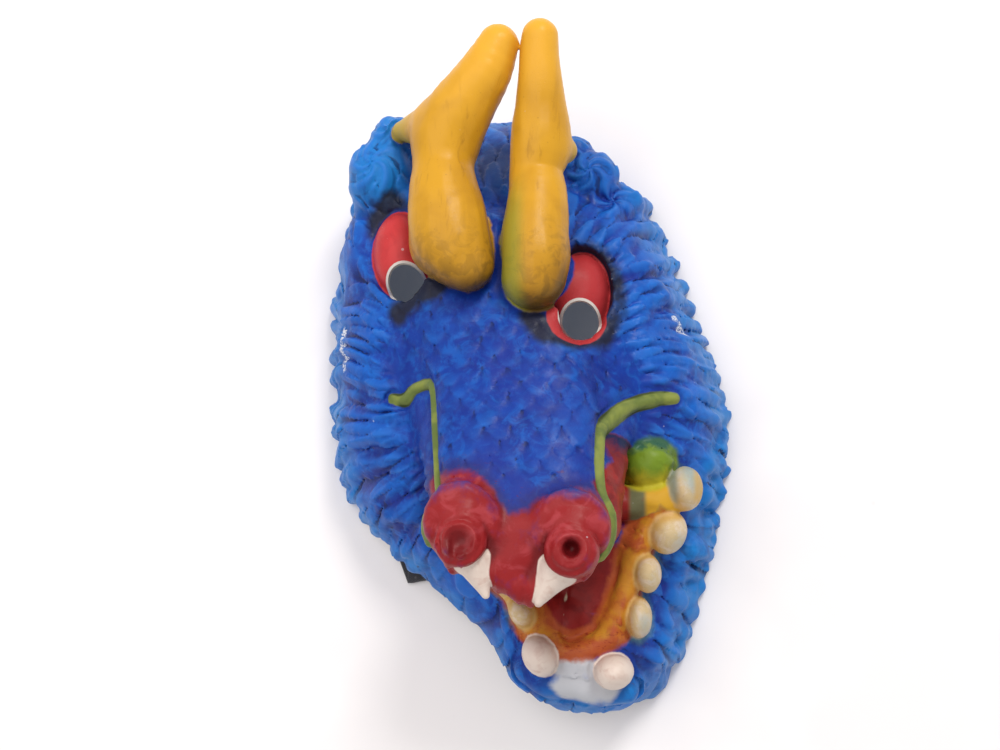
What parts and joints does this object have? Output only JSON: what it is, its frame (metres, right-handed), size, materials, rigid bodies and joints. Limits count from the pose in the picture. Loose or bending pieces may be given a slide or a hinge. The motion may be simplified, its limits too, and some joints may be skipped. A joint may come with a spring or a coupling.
{
  "type": "dragon face mask",
  "caption": "Soft latex dragon face mask with horns, open toothed mouth, see-through eyes and an elastic head strap, lying face up on its rim.",
  "frame": {"origin": "middle of the underside of the whole mask, on the table it lies on", "axes": "+X towards the picture's right, +Y from chin to horns, +Z out of the face"},
  "size_m": [0.1794, 0.279, 0.1078],
  "materials": {
    "painted_latex": "sprayed and brushed paint on cast latex, satin",
    "black_elastic": "woven elastic webbing, matt"
  },
  "bodies": {
    "root": {"mask_shell": "painted_latex", "elastic_strap": "black_elastic"}
  },
  "joints": []
}
